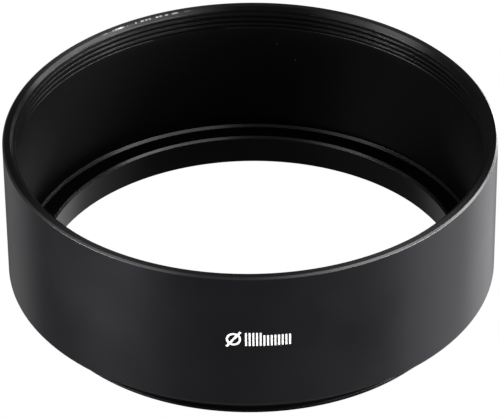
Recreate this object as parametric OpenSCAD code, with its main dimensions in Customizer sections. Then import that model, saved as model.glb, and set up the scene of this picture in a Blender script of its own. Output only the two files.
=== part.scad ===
// Screw-in lens hood: a short black tube on a threaded mounting ring.
// The origin is on the optical axis, in the plane of the mounting ring's rear edge.
// +Z runs forward along the axis, from the lens to the front rim, and the size mark faces -Y.

/* [Barrel] */
// Outside diameter of the barrel
barrel_d = 64.6; // [64.5:0.1:70]
// Height of the barrel, from its lower edge to the front rim
barrel_h = 19.9; // [12:0.1:40]
// Inside diameter of the rim's flat face, where the bevel starts
mouth_d = 62.6; // [62.4:0.1:63]
// Chamfer on the rim's outer edge
rim_chamfer = 0.24; // [0.1:0.02:0.4]
// Radius of the rounding on the barrel's lower outer edge
foot_round = 0.2; // [0.2:0.1:0.5]
// Diameter where the tapered underside meets the barrel's lower edge
foot_d = 63.6; // [62.8:0.2:63.8]
// Outside diameter of the flat rear shoulder, which a lens's filter ring stops against
shoulder_d = 60.4; // [59.6:0.2:61]
// Thickness of the web that carries the mounting ring
web_t = 0.9; // [0.7:0.1:1]
// Height and width of the bevel that leads down from the inner wall into the ring's seat
seat_bevel = 0.33; // [0.3:0.01:0.5]

/* [Threads] */
// Pitch of both filter threads
pitch = 0.75; // [0.6:0.05:0.75]
// Nominal diameter of the female thread at the front
front_thread_d = 62; // [61.6:0.1:62.2]
// Grooves in the female thread
front_turns = 4; // [2:1:8]
// Depth of the female thread's first groove below the rim
front_lead = 0.6; // [0.5:0.05:1]
// Nominal diameter of the male thread at the rear
rear_thread_d = 58; // [57.8:0.1:58]
// Grooves in the male thread
rear_turns = 3; // [2:1:3]
// Height of the male thread's first groove above the rear edge
rear_lead = 0.45; // [0.4:0.01:0.5]

/* [Mounting ring] */
// Distance from the barrel's lower edge down to the ring's rear edge
ring_drop = 3.9; // [3.9:0.1:6]
// Diameter of the light opening at its front lip
opening_d = 55.6; // [54:0.1:56.2]
// Diameter of the light opening at the rear, before its chamfer
rear_opening_d = 56.5; // [55.6:0.1:56.5]
// Height of the flange's top face above the barrel's lower edge
floor_rise = 0.6; // [0.1:0.1:1]
// Thickness of the flange
flange_t = 0.6; // [0.5:0.1:1]
// Chamfer on the front lip of the opening
lip_chamfer = 0.3; // [0.1:0.05:0.4]
// Chamfer on the ring's rear inner edge
rear_chamfer = 0.2; // [0.1:0.05:0.2]
// Lead-in chamfer on the ring's rear outer edge
lead_chamfer = 0.3; // [0.1:0.05:0.3]

/* [Size mark] */
// Diameter of the ring in the diameter sign
sign_d = 1.9; // [1.6:0.1:2.4]
// Length of the stroke through the diameter sign
slash_l = 2.9; // [2.4:0.1:3.4]
// Width of the diameter sign's lines
line_w = 0.28; // [0.2:0.02:0.4]
// Width of each tick
tick_w = 0.24; // [0.16:0.02:0.3]
// Distance from one tick to the next
tick_pitch = 0.46; // [0.4:0.02:0.6]
// Height of the tall ticks
tall_tick_h = 2; // [1.6:0.1:2.4]
// Height of the short ticks
short_tick_h = 1.6; // [0.8:0.1:1.8]
// Height of the mark's middle above the barrel's lower edge
mark_rise = 10.5; // [4:0.5:14]
// Turn of the mark about the axis, to the right
mark_turn = 1.4; // [-20:0.2:20]
// Thickness of the printed ink
ink_t = 0.05; // [0.03:0.01:0.1]

/* [Hidden] */
$fn = 180;

// a metric thread's form: its depth and its two flats, as shares of the pitch
thread_depth = 0.5413 * pitch;
narrow_flat = pitch / 8;
wide_flat = pitch / 4;
crest_allowance = 0.05; // the male crests lie this far inside the nominal radius
slip = 0.1;             // the ring's crests pass through the web's hole with this gap
over = 0.2;             // how far a cut runs past the surface that it starts from

barrel_r = barrel_d / 2;
mouth_r = mouth_d / 2;
foot_r = foot_d / 2;
shoulder_r = shoulder_d / 2;
opening_r = opening_d / 2;
rear_opening_r = rear_opening_d / 2;
tube_r = front_thread_d / 2 - thread_depth;        // inner wall, and the female crests
crest_r = rear_thread_d / 2 - crest_allowance;     // male crests
neck_r = crest_r - thread_depth;                   // male roots, and the relief above them
web_hole_r = crest_r + slip;
flange_r = tube_r - seat_bevel;                    // the ring is pressed into a seat of this radius

foot_z = ring_drop;                // the barrel's lower edge
rim_z = foot_z + barrel_h;         // the front rim
floor_z = foot_z + floor_rise;     // the flange's top face
seat_z = floor_z - flange_t;       // the flange rests on the web here
shoulder_z = seat_z - web_t;       // the flat rear shoulder
thread_top_z = rear_lead + (rear_turns - 0.5) * pitch; // middle of the last male crest

// the size mark: a diameter sign, then a tally of five tall and eight short ticks
tall_ticks = 5;
short_ticks = 8;
slash_tilt = 38;                   // of the stroke, from upright
sign_gap = 0.5;
ticks_w = (tall_ticks + short_ticks - 1) * tick_pitch + tick_w;
mark_w = sign_d + sign_gap + ticks_w;

// one thread groove's section, cut from a wall at radius r; side is 1 outward and -1 inward
module groove(r, z, side, root_flat, crest_flat) {
    open = (pitch - crest_flat) / 2;
    root = root_flat / 2;
    slope = (open - root) / thread_depth;
    polygon([
        [r - side * over, z - open - slope * over],
        [r + side * thread_depth, z - root],
        [r + side * thread_depth, z + root],
        [r - side * over, z + open + slope * over],
    ]);
}

// the square corner that the rounding takes off the barrel's lower outer edge
module foot_corner() {
    difference() {
        translate([barrel_r - foot_round, foot_z - over])
            square([foot_round + over, foot_round + over]);
        translate([barrel_r - foot_round, foot_z + foot_round])
            circle(r = foot_round);
    }
}

module barrel_section() {
    difference() {
        polygon([
            [web_hole_r, shoulder_z],
            [shoulder_r, shoulder_z],
            [foot_r, foot_z],
            [barrel_r, foot_z],
            [barrel_r, rim_z - rim_chamfer],
            [barrel_r - rim_chamfer, rim_z],
            [mouth_r, rim_z],
            [tube_r, rim_z - (mouth_r - tube_r)],
            [tube_r, floor_z + seat_bevel],
            [flange_r, floor_z],
            [flange_r, seat_z],
            [web_hole_r, seat_z],
        ]);
        foot_corner();
        for (turn = [0 : front_turns - 1])
            groove(tube_r, rim_z - front_lead - turn * pitch, 1, narrow_flat, wide_flat);
    }
}

module ring_section() {
    difference() {
        polygon([
            [rear_opening_r + rear_chamfer, 0],
            [crest_r - lead_chamfer, 0],
            [crest_r, lead_chamfer],
            [crest_r, thread_top_z + narrow_flat / 2],
            [neck_r, thread_top_z + pitch / 2],
            [neck_r, seat_z],
            [flange_r, seat_z],
            [flange_r, floor_z],
            [opening_r + lip_chamfer, floor_z],
            [opening_r, floor_z - lip_chamfer],
            [rear_opening_r, rear_chamfer],
        ]);
        for (turn = [0 : rear_turns - 1])
            groove(crest_r, rear_lead + turn * pitch, -1, wide_flat, narrow_flat);
    }
}

// the mark's outline, centred, upright in the plane
module mark_outline() {
    translate([(sign_d - mark_w) / 2, 0]) {
        difference() {
            circle(d = sign_d);
            circle(d = sign_d - 2 * line_w);
        }
        rotate(-slash_tilt)
            square([line_w, slash_l], center = true);
    }
    for (tick = [0 : tall_ticks + short_ticks - 1])
        translate([mark_w / 2 - ticks_w + tick * tick_pitch, -tall_tick_h / 2])
            square([tick_w, tick < tall_ticks ? tall_tick_h : short_tick_h]);
}

// The tube: female thread inside the rim, plain wall below it, and a stepped-in web at the foot.
module hood_barrel() {
    color("#1c1c1e")
        rotate_extrude()
            barrel_section();
}

// The ring pressed into the barrel's foot: flange inside, male filter thread behind.
module mount_ring() {
    color("#26262a")
        rotate_extrude()
            ring_section();
}

// White ink printed on the barrel.
module size_mark() {
    color("white")
        rotate(mark_turn)
            intersection() {
                translate([0, 0, foot_z + mark_rise])
                    rotate([90, 0, 0])
                        linear_extrude(barrel_r + 1)
                            mark_outline();
                difference() {
                    translate([0, 0, foot_z + 1])
                        cylinder(r = barrel_r + ink_t, h = barrel_h - 2);
                    translate([0, 0, foot_z])
                        cylinder(r = barrel_r, h = barrel_h);
                }
            }
}

hood_barrel();
mount_ring();
size_mark();
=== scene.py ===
"""Screw-in lens hood: the visible model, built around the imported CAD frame.

Lengths are in millimetres and follow the CAD, and MM turns them into Blender's metres. The boxes
of the CAD nodes give the outer limits.
"""
import math

import bmesh
import bpy
from mathutils import Matrix, Vector


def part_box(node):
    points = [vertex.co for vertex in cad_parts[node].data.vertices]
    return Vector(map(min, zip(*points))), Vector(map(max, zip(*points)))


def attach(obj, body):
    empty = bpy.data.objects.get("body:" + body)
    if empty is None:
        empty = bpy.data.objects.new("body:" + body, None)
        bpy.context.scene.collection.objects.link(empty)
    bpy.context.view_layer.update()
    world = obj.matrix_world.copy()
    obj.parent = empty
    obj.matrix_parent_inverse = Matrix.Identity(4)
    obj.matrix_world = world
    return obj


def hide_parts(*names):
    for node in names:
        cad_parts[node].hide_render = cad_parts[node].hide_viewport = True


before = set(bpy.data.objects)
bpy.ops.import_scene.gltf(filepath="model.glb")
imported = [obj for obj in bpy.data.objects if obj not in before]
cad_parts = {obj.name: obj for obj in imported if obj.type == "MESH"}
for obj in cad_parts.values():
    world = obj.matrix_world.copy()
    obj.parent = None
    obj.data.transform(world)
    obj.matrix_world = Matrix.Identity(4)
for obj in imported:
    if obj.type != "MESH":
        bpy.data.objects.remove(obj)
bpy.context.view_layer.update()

MM = 0.001

# ---------------------------------------------------------------- sizes
barrel_lo, barrel_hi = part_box("hood_barrel")
ring_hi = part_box("mount_ring")[1]

BARREL_R = barrel_hi.x / MM
BARREL_H = 19.9
MOUTH_R = 31.3                      # where the rim's flat face ends and its bevel starts
FOOT_R = 31.8                       # where the tapered underside meets the barrel's lower edge
SHOULDER_R = 30.2
WEB_HOLE_R = 29.05                  # the hole in the web, which the ring's neck passes through
RIM_Z = barrel_hi.z / MM
FOOT_Z = RIM_Z - BARREL_H           # the barrel's lower edge
SHOULDER_Z = barrel_lo.z / MM
FLOOR_Z = ring_hi.z / MM            # the ring's front face, the ledge inside the hood
SEAT_Z = FLOOR_Z - 0.6              # the ring's flange rests here

PITCH = 0.75
DEPTH = 0.5413 * PITCH
TUBE_R = 31.0 - DEPTH               # inner wall and female crests
CREST_R = 28.95                     # male crests
NECK_R = CREST_R - DEPTH

RIM_CHAMFER = 0.25
FOOT_STRIP = 0.3                    # height of the strip of painted highlight along the barrel's lower edge
SEAT_BEVEL = 0.33
SEAM = 0.015                        # the seat's bevel starts this far above the ring's face
FLANGE_R = TUBE_R - SEAT_BEVEL
LIP_R = 27.8                        # the light opening at its front lip
LIP_CHAMFER = 0.3
REAR_R = 28.25                      # the light opening at the rear
REAR_CHAMFER = 0.2
LEAD_CHAMFER = 0.3                  # on the ring's rear outer edge

# the female thread fills a band from just inside the bevel down to the plain inner wall
FRONT_BAND_TOP = RIM_Z - 0.16
FRONT_BAND_FOOT = RIM_Z - 4.3
FRONT_LEAD = 0.66                   # depth of the first groove under the rim, at the hood's back
THREAD_END = -3.62                  # the last groove runs out here, in turns from groove 0
FADE = 0.2                          # and it runs out over this share of a turn
LAST_GROOVE = -3
TAIL_START = 0.25                   # this far under the last groove's middle the wall flares out
TAIL_DEPTH = 0.07                   # by this much, and the flare dies away downwards
TAIL_LENGTH = 0.45

# the male thread fills a band from inside the lead-in chamfer up to the neck
REAR_BAND_FOOT = 0.06
REAR_BAND_TOP = 2.72
REAR_LEAD = 0.9                     # height of a groove above the rear edge, at the hood's front

COLUMNS = 480                       # faces round each turned piece
STEPS_SMALL, STEPS_LARGE = 3, 7     # segments in a corner's arc
LARGE_ARC = 0.2                     # the radius from which an arc counts as large
GUARD = 0.4                         # from an arc to its guard row, as a share of its radius
SHARP = math.radians(50)            # an edge that turns more than this is shaded sharp
WELD = 0.0003 * MM                  # vertices closer than this are merged
SLIVER = 0.0001 * MM                # edges shorter than this are dissolved

# half of a thread groove's section: distance from its centre line, and depth as a share of DEPTH
HALF_GROOVE = [
    (0.024, 1.0), (0.045, 0.98), (0.066, 0.915), (0.125, 0.667), (0.2, 0.347),
    (0.262, 0.085), (0.281, 0.02), (0.302, 0.0), (0.33, 0.0),
]
OTHER_HALF = [(-offset, share) for offset, share in reversed(HALF_GROOVE)]
GROOVE = [(-PITCH / 2, 0.0)] + OTHER_HALF + HALF_GROOVE


def smooth(x):
    x = min(1.0, max(0.0, x))
    return x * x * (3 - 2 * x)


# ---------------------------------------------------------------- mesh tools
def rounded(corners):
    """A section's rows (r, z, slot) from its corners (r, z, radius, slot).

    A slot is the material of the stretch that starts at its corner. Each corner with a radius gets
    an arc, and a guard row just before and after it keeps the straight runs' shading flat."""
    rows = []
    for k, (r, z, radius, slot) in enumerate(corners):
        if radius == 0 or k in (0, len(corners) - 1):
            rows.append((r, z, slot))
            continue
        here = Vector((r, z))
        slot_before = corners[k - 1][3]
        before = Vector(corners[k - 1][:2]) - here
        after = Vector(corners[k + 1][:2]) - here
        half = before.angle(after) / 2
        reach = radius / math.tan(half)
        a, b = before.normalized(), after.normalized()
        centre = here + (a + b).normalized() * (radius / math.sin(half))
        start, end = here + a * reach, here + b * reach
        turn = (start - centre).angle_signed(end - centre)
        steps = STEPS_SMALL if radius < LARGE_ARC else STEPS_LARGE
        guard = GUARD * radius
        rows.append((*(start + a * guard), slot_before))
        for i in range(steps + 1):
            arm = start - centre
            arm.rotate(Matrix.Rotation(-turn * i / steps, 2))
            rows.append((*(centre + arm), slot_before if i < (steps + 1) / 2 else slot))
        rows.append((*(end + b * guard), slot))
    return rows


def turned(name, section, band):
    """A turned piece: the section's rows, closed by a band whose rows follow a right-hand helix.

    section is a list of rows (r, z, slot), and its two ends meet the band. The band's keys are
      low, high     its two levels
      middle, at    the level of groove 0's middle, and the angle from +X where it has that level
      grooves       the numbers of the grooves; rows past low or high lie flat on that level
      radius        a function of level, share of full depth, and distance below the tail's start
      fade          a function of the turn, giving the groove's share of full depth there
      slot          the material slot from the turn end upwards
      wall          the material slot below end
      bevel         a function of level, giving the bevel's radius, or None if there is no bevel
      bevel_slot    the material slot of the faces that lie on the bevel
    A turn is a groove's number plus the share of a full turn from the angle at to the point."""
    bm = bmesh.new()
    angles = [2 * math.pi * j / COLUMNS for j in range(COLUMNS)]
    around = [(math.cos(angle), math.sin(angle)) for angle in angles]
    turned_by = [(angle - band["at"]) / (2 * math.pi) for angle in angles]

    def vertex(r, z, c, s):
        return bm.verts.new((r * c * MM, r * s * MM, z * MM))

    rows = [[vertex(r, z, c, s) for c, s in around] for r, z, _ in section]
    for (lower, upper), (_, _, slot) in zip(zip(rows, rows[1:]), section):
        for j in range(COLUMNS):
            k = (j + 1) % COLUMNS
            bm.faces.new((lower[j], lower[k], upper[k], upper[j])).material_index = slot

    helix, on_bevel = [], []
    for groove in band["grooves"]:
        for offset, share in GROOVE:
            row, bevelled = [], []
            for (c, s), part in zip(around, turned_by):
                turn = groove + part
                z = min(band["high"], max(band["low"], band["middle"] + PITCH * turn + offset))
                below = PITCH * (LAST_GROOVE - turn) - offset - TAIL_START
                r = band["radius"](z, share * band["fade"](turn), below)
                row.append(vertex(r, z, c, s))
                bevelled.append(r == band["bevel"](z))
            helix.append(row)
            on_bevel.append(bevelled)

    # after a full turn a row carries on as the same row of the next groove
    last_row = len(helix) - 1
    for i in range(last_row):
        for j in range(COLUMNS):
            if j < COLUMNS - 1:
                next_lower, next_upper = helix[i][j + 1], helix[i + 1][j + 1]
            else:
                next_lower = helix[min(i + len(GROOVE), last_row)][0]
                next_upper = helix[min(i + 1 + len(GROOVE), last_row)][0]
            corners = tuple(dict.fromkeys((helix[i][j], next_lower, next_upper, helix[i + 1][j])))
            if len(corners) < 3:
                continue
            face = bm.faces.new(corners)
            turn = band["grooves"][i // len(GROOVE)] + turned_by[j]
            face.material_index = band["slot"] if turn >= band["end"] else band["wall"]
            if on_bevel[i][j] and on_bevel[i + 1][j]:
                face.material_index = band["bevel_slot"]

    bmesh.ops.remove_doubles(bm, verts=bm.verts, dist=WELD)
    bmesh.ops.dissolve_degenerate(bm, edges=bm.edges, dist=SLIVER)
    bmesh.ops.recalc_face_normals(bm, faces=bm.faces)
    mesh = bpy.data.meshes.new(name)
    bm.to_mesh(mesh)
    bm.free()
    for face in mesh.polygons:
        face.use_smooth = True
    mesh.set_sharp_from_angle(angle=SHARP)
    for finish in FINISHES:
        mesh.materials.append(finish)
    piece = bpy.data.objects.new(name, mesh)
    bpy.context.scene.collection.objects.link(piece)
    return piece


# ---------------------------------------------------------------- shader tools
def material(name):
    m = bpy.data.materials.new(name)
    m.use_nodes = True
    return m


def shader_of(m):
    return m.node_tree.nodes["Principled BSDF"]


def put(m, target, values):
    """Sets a node's inputs. Each value is a number, a colour, or the output to link to it."""
    for socket, value in values.items():
        if isinstance(value, bpy.types.NodeSocket):
            m.node_tree.links.new(value, target.inputs[socket])
        else:
            target.inputs[socket].default_value = value


def node(m, kind, values=None, **options):
    """Adds a shader node and returns its outputs."""
    made = m.node_tree.nodes.new("ShaderNode" + kind)
    for option, choice in options.items():
        setattr(made, option, choice)
    put(m, made, values or {})
    return made.outputs


def linked(m, socket):
    """The output that feeds one of the shader's inputs."""
    return shader_of(m).inputs[socket].links[0].from_socket


def maths(m, operation, *values):
    return node(m, "Math", dict(enumerate(values)), operation=operation)[0]


def product(m, a, b):
    return maths(m, "MULTIPLY", a, b)


def step(m, value, low, high):
    """0 at low and 1 at high, with a smooth step between them."""
    return node(
        m, "MapRange", {"Value": value, "From Min": low, "From Max": high},
        interpolation_type="SMOOTHSTEP",
    )["Result"]


def mix(m, fac, a, b):
    return node(m, "MixRGB", {"Fac": fac, "Color1": a, "Color2": b})["Color"]


# ---------------------------------------------------------------- materials
RELIEF = 0.00004                    # bump distance of the grain and the turning marks, in metres
GLINT_DASH_SHIFT = 3.0                    # degrees by which the pattern of painted glint dashes is turned


def anodised(name, colour, roughness, specular, grain, turning, anisotropic=0.0, tint=(1, 1, 1)):
    """Black anodised aluminium: a fine blasted grain, faint turning marks and an uneven tone.

    grain and turning are bump strengths."""
    m = material(name)
    place = node(m, "TexCoord")["Object"]

    tone = node(m, "TexNoise", {"Scale": 90, "Detail": 3, "Vector": place})["Fac"]
    uneven = node(m, "MapRange", {
        "Value": tone, "From Min": 0.3, "From Max": 0.7,
        "To Min": roughness - 0.03, "To Max": roughness + 0.03,
    })["Result"]
    speck = node(m, "TexNoise", {"Scale": 5200, "Detail": 2, "Vector": place})["Fac"]
    dark, light = [(*[share * c for c in colour], 1) for share in (0.75, 1.25)]

    # turning marks: noise that changes along the radius and the axis, and hardly round the piece
    split = node(m, "SeparateXYZ", {"Vector": place})
    flat = node(m, "CombineXYZ", {"X": split["X"], "Y": split["Y"]})["Vector"]
    radius = node(m, "VectorMath", {0: flat}, operation="LENGTH")["Value"]
    lathe = node(m, "CombineXYZ", {"X": radius, "Z": split["Z"]})["Vector"]
    marks = node(m, "TexNoise", {"Scale": 9000, "Detail": 2, "Vector": lathe})["Fac"]

    relief = node(m, "Bump", {"Strength": turning, "Distance": RELIEF, "Height": marks})["Normal"]
    relief = node(m, "Bump", {
        "Strength": grain, "Distance": RELIEF, "Height": speck, "Normal": relief,
    })["Normal"]
    put(m, shader_of(m), {
        "Base Color": mix(m, speck, dark, light),
        "Roughness": uneven,
        "Normal": relief,
        "Metallic": 0.0,
        "Specular IOR Level": specular,
        "Specular Tint": (*tint, 1),
    })
    if anisotropic:
        put(m, shader_of(m), {
            "Tangent": node(m, "Tangent", direction_type="RADIAL", axis="Z")["Tangent"],
            "Anisotropic": anisotropic,
            "Anisotropic Rotation": 0.25,
        })
    return m


def painted_glints_and_sheen(m, edge_radius, first, last):
    """Painted glints and sheen along an edge: glints painted as short dashes of bare metal, with a
    painted sheen, a lighter base colour, around them.

    first and last are bearings from +Y towards +X, in degrees."""
    place = node(m, "SeparateXYZ", {"Vector": node(m, "TexCoord")["Object"]})
    x, y = place["X"], place["Y"]
    bearing = maths(m, "DEGREES", maths(m, "ARCTAN2", x, y))
    radius = maths(m, "SQRT", maths(m, "ADD", product(m, x, x), product(m, y, y)))
    off_edge = maths(m, "ABSOLUTE", maths(m, "SUBTRACT", radius, edge_radius * MM))
    on_edge = step(m, off_edge, 0.14 * MM, 0.07 * MM)
    zone = product(
        m, step(m, bearing, first - 5, first + 4), step(m, bearing, last + 4, last - 3)
    )

    noise = node(
        m, "TexNoise",
        {"Scale": 0.3, "Detail": 4, "Roughness": 0.62, "W": maths(m, "ADD", bearing, GLINT_DASH_SHIFT)},
        noise_dimensions="1D",
    )["Fac"]
    # glints painted as dashes of bare metal on the edge
    glint_dashes = product(m, product(m, zone, on_edge), step(m, noise, 0.47, 0.54))
    # painted sheen: a wider zone of lighter base colour round the glints
    sheen_zone = product(m, step(m, bearing, first - 45, first), step(m, bearing, last + 14, last))

    painted_sheen = mix(m, sheen_zone, linked(m, "Base Color"), (0.012, 0.012, 0.0125, 1))
    put(m, shader_of(m), {
        "Base Color": mix(m, glint_dashes, painted_sheen, (0.5, 0.5, 0.5, 1)),
        "Metallic": glint_dashes,
    })


def dust(m):
    """A few pale specks, each about a tenth of a millimetre across."""
    cells = node(m, "TexVoronoi", {"Scale": 420, "Vector": node(m, "TexCoord")["Object"]})
    small = maths(m, "LESS_THAN", cells["Distance"], 0.03)
    chosen = maths(m, "GREATER_THAN", cells["Color"], 0.55)
    specks = product(m, small, chosen)
    put(m, shader_of(m), {
        "Base Color": mix(m, specks, linked(m, "Base Color"), (0.06, 0.06, 0.06, 1)),
    })


def printed_ink(name):
    """White ink, a little thin in places."""
    m = material(name)
    place = node(m, "TexCoord")["Object"]
    noise = node(m, "TexNoise", {"Scale": 4500, "Detail": 3, "Vector": place})["Fac"]
    cover = node(m, "MapRange", {"Value": noise, "From Min": 0.3, "From Max": 0.5})["Result"]
    relief = node(m, "Bump", {"Strength": 0.2, "Distance": 0.00002, "Height": noise})["Normal"]
    put(m, shader_of(m), {
        "Base Color": mix(m, cover, (0.66, 0.66, 0.65, 1), (0.92, 0.92, 0.91, 1)),
        "Roughness": 0.5,
        "Normal": relief,
    })
    return m


COOL = (0.9, 0.88, 1)

# both turned pieces carry all of these: name, colour, roughness, specular, grain and turning
FINISHES = [
    anodised("anodised_outside", (0.003, 0.003, 0.0034), 0.32, 0.86, 0.05, 0.04, tint=COOL),
    anodised("anodised_inside", (0.0012, 0.0012, 0.0012), 0.45, 0.1, 0.06, 0.04),
    anodised("anodised_rim", (0.0008, 0.0008, 0.0008), 0.36, 0.44, 0.05, 0.05, anisotropic=0.9),
    # a lighter copy of the outside finish: painted highlight on the rim's outer chamfer and on a
    # strip along the barrel's lower edge
    anodised("anodised_edge_highlight", (0.006, 0.006, 0.006), 0.32, 0.95, 0.04, 0.06),
    anodised("anodised_thread", (0.0008, 0.0008, 0.0008), 0.28, 0.45, 0.04, 0.04),
    anodised("anodised_ledge", (0.002, 0.002, 0.002), 0.25, 0.7, 0.04, 0.04),
    # a darker copy of the thread finish: painted shade on the ring's male thread, bore and rear
    # faces, down by the floor
    anodised("anodised_screw_painted_shade", (0.0008, 0.0008, 0.0008), 0.3, 0.3, 0.04, 0.04),
]
outside, inside, rim, edge_highlight, thread, ledge, shaded_screw = range(len(FINISHES))
# painted glints and sheen on the rim's edge, at the back left
painted_glints_and_sheen(FINISHES[rim], MOUTH_R, -36, -18)
dust(FINISHES[outside])
dust(FINISHES[inside])


# ---------------------------------------------------------------- the barrel
def bevel(z):
    return MOUTH_R - (RIM_Z - z)


def barrel_wall(z, share, below):
    tail = TAIL_DEPTH * math.exp(-below / TAIL_LENGTH) if below > 0 else 0.0
    return max(TUBE_R + max(DEPTH * share, tail), bevel(z))


barrel = turned(
    "barrel_shell",
    rounded([
        (bevel(FRONT_BAND_TOP), FRONT_BAND_TOP, 0, rim),
        (MOUTH_R, RIM_Z, 0.05, rim),
        (BARREL_R - RIM_CHAMFER, RIM_Z, 0.05, edge_highlight),
        (BARREL_R, RIM_Z - RIM_CHAMFER, 0.06, outside),
        # painted highlight: a strip of the lighter edge finish just above the barrel's lower edge
        (BARREL_R, FOOT_Z + FOOT_STRIP, 0, edge_highlight),
        # from the middle of the lower edge's rounding inwards the underside takes the darker
        # inside finish: painted shade under the barrel
        (BARREL_R, FOOT_Z, 0.2, inside),
        (FOOT_R, FOOT_Z, 0.06, inside),
        (SHOULDER_R, SHOULDER_Z, 0.05, inside),
        (WEB_HOLE_R, SHOULDER_Z, 0.05, inside),
        (WEB_HOLE_R, SEAT_Z, 0.04, inside),
        (FLANGE_R, SEAT_Z, 0, inside),
        (FLANGE_R, FLOOR_Z + SEAM, 0.01, ledge),
        (TUBE_R, FLOOR_Z + SEAT_BEVEL, 0.05, inside),
        (TUBE_R, FRONT_BAND_FOOT, 0, inside),
    ]),
    {
        "low": FRONT_BAND_FOOT,
        "high": FRONT_BAND_TOP,
        "middle": RIM_Z - FRONT_LEAD,
        "at": math.pi / 2,
        "grooves": range(-5, 2),
        "radius": barrel_wall,
        "fade": lambda turn: smooth((turn - THREAD_END) / FADE),
        "slot": thread,
        "end": THREAD_END,
        "wall": inside,
        "bevel": bevel,
        "bevel_slot": rim,
    },
)
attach(barrel, "root")
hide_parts("hood_barrel")


# ---------------------------------------------------------------- the mounting ring
def ring_wall(z, share, below):
    lead_in = CREST_R - (LEAD_CHAMFER - z)
    run_out = NECK_R + max(0.0, REAR_BAND_TOP - z)
    return min(CREST_R - DEPTH * share, lead_in, run_out)


ring = turned(
    "ring_shell",
    rounded([
        (NECK_R, REAR_BAND_TOP, 0, inside),
        (NECK_R, SEAT_Z, 0, inside),
        (FLANGE_R, SEAT_Z, 0, inside),
        (FLANGE_R, FLOOR_Z, 0.03, inside),
        (LIP_R + LIP_CHAMFER, FLOOR_Z, 0.05, ledge),
        # painted shade: from the lip down, the bore, the rear and the male thread take the darker
        # screw finish
        (LIP_R, FLOOR_Z - LIP_CHAMFER, 0.05, shaded_screw),
        (REAR_R, REAR_CHAMFER, 0.05, shaded_screw),
        (REAR_R + REAR_CHAMFER, 0, 0.03, shaded_screw),
        (CREST_R - LEAD_CHAMFER, 0, 0.03, shaded_screw),
        (CREST_R - LEAD_CHAMFER + REAR_BAND_FOOT, REAR_BAND_FOOT, 0, shaded_screw),
    ]),
    {
        "low": REAR_BAND_FOOT,
        "high": REAR_BAND_TOP,
        "middle": REAR_LEAD,
        "at": 1.5 * math.pi,
        "grooves": range(-2, 5),
        "radius": ring_wall,
        "fade": lambda turn: 1.0,
        "slot": shaded_screw,
        "end": -math.inf,
        "wall": shaded_screw,
        "bevel": lambda z: None,
        "bevel_slot": shaded_screw,
    },
)
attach(ring, "root")
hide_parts("mount_ring")

# ---------------------------------------------------------------- the printed mark
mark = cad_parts["size_mark"]
mark.data.materials.clear()
mark.data.materials.append(printed_ink("white_ink"))

# ---------------------------------------------------------------- stage
# the surround is plain white with no shadow, so the camera alone sees the floor and the backdrop
WHITE = material("white_stage")
WHITE.node_tree.nodes.clear()
white_light = node(WHITE, "Emission", {"Strength": 1.0})["Emission"]
node(WHITE, "OutputMaterial", {"Surface": white_light})


def staged(name, make, **options):
    bm = bmesh.new()
    make(bm, **options)
    mesh = bpy.data.meshes.new(name)
    bm.to_mesh(mesh)
    bm.free()
    mesh.materials.append(WHITE)
    piece = bpy.data.objects.new(name, mesh)
    bpy.context.scene.collection.objects.link(piece)
    for ray in ("diffuse", "glossy", "transmission", "volume_scatter", "shadow"):
        setattr(piece, "visible_" + ray, False)


staged("floor", bmesh.ops.create_grid, x_segments=1, y_segments=1, size=3)
staged("backdrop", bmesh.ops.create_icosphere, subdivisions=4, radius=6)

# ---------------------------------------------------------------- light
scene = bpy.context.scene
world = bpy.data.worlds.new("studio")
world.use_nodes = True
sky = world.node_tree.nodes["Background"]
sky.inputs["Color"].default_value = (1, 1, 1, 1)
sky.inputs["Strength"].default_value = 0.075
scene.world = world
scene.view_settings.view_transform = "Standard"
scene.view_settings.look = "None"


def softbox(name, azimuth, elevation, width, height, power, distance=0.8):
    """An area light that faces the hood.

    Azimuth 0 is in front, towards -Y, and 90 is to the right. Both angles are in degrees, the
    lengths in metres and the power in watts."""
    a, e = math.radians(azimuth), math.radians(elevation)
    way = Vector((math.sin(a) * math.cos(e), -math.cos(a) * math.cos(e), math.sin(e)))
    data = bpy.data.lights.new(name, "AREA")
    data.shape = "RECTANGLE"
    data.size, data.size_y = width, height
    data.energy = power
    box = bpy.data.objects.new(name, data)
    box.location = way * distance + Vector((0, 0, 12 * MM))
    box.rotation_euler = (-way).to_track_quat("-Z", "Y").to_euler()
    bpy.context.scene.collection.objects.link(box)


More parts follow.
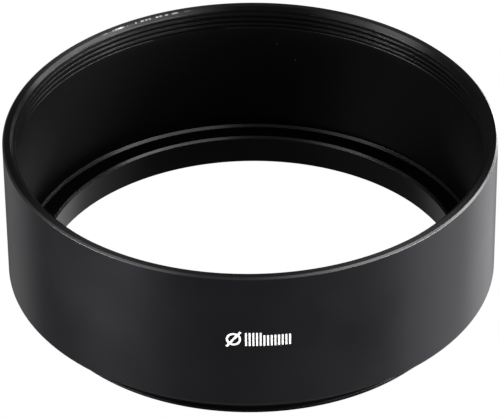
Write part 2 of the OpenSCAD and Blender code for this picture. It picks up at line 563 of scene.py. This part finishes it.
softbox("right_key", 75, 9, 0.45, 0.4, 14)
softbox("right_mid", 105, 12, 0.4, 0.4, 4)
softbox("right_high", 60, 40, 0.4, 0.3, 1.35)
softbox("front_right", 40, 10, 0.3, 0.3, 2.3)
softbox("front_right_high", 32, 52, 0.25, 0.25, 0.25)
softbox("left_key", 285, 15, 0.4, 0.35, 2.4)
softbox("left_low", 300, -12, 0.35, 0.25, 1.6)
softbox("left_front", 312, 8, 0.3, 0.2, 1.1)
softbox("left_mid", 290, 9, 0.3, 0.2, 4.5)
softbox("left_high", 302, 42, 0.35, 0.25, 0.45)
softbox("back_right_high", 148, 56, 0.3, 0.25, 0.6)
softbox("back_left_high", 212, 56, 0.3, 0.25, 0.35)
softbox("back_top", 180, 62, 0.3, 0.2, 0.2)
softbox("back_right", 140, -8, 0.4, 0.3, 2.8)
softbox("low_right", 90, -35, 0.4, 0.3, 0.17)
softbox("low_mid_right", 116, -35, 0.3, 0.3, 0.1)
softbox("low_back_right", 140, -35, 0.4, 0.3, 0.32)
softbox("low_back_left", 220, -35, 0.4, 0.3, 0.09)
softbox("under", 190, -72, 0.4, 0.3, 0.05)

# ---------------------------------------------------------------- camera
CAMERA_RISE = math.radians(35.662)  # elevation above the horizontal
CAMERA_ROLL = -0.009886             # in radians
CAMERA_AWAY = 0.5189                # metres from the axis, at the level of the barrel's lower edge

lens = bpy.data.cameras.new("camera")
lens.sensor_width = 36
lens.lens = 280.229
lens.shift_x = -0.00269
lens.shift_y = 0.09698
lens.clip_start = 0.01
lens.clip_end = 50
camera = bpy.data.objects.new("camera", lens)

level = Vector((1, 0, 0))
upright = Vector((0, math.sin(CAMERA_RISE), math.cos(CAMERA_RISE)))
back = Vector((0, -math.cos(CAMERA_RISE), math.sin(CAMERA_RISE)))
right = level * math.cos(CAMERA_ROLL) + upright * math.sin(CAMERA_ROLL)
up = upright * math.cos(CAMERA_ROLL) - level * math.sin(CAMERA_ROLL)
pose = Matrix((right, up, back)).transposed().to_4x4()
pose.translation = back * CAMERA_AWAY + Vector((0, 0, FOOT_Z * MM))
camera.matrix_world = pose
scene.collection.objects.link(camera)
scene.camera = camera
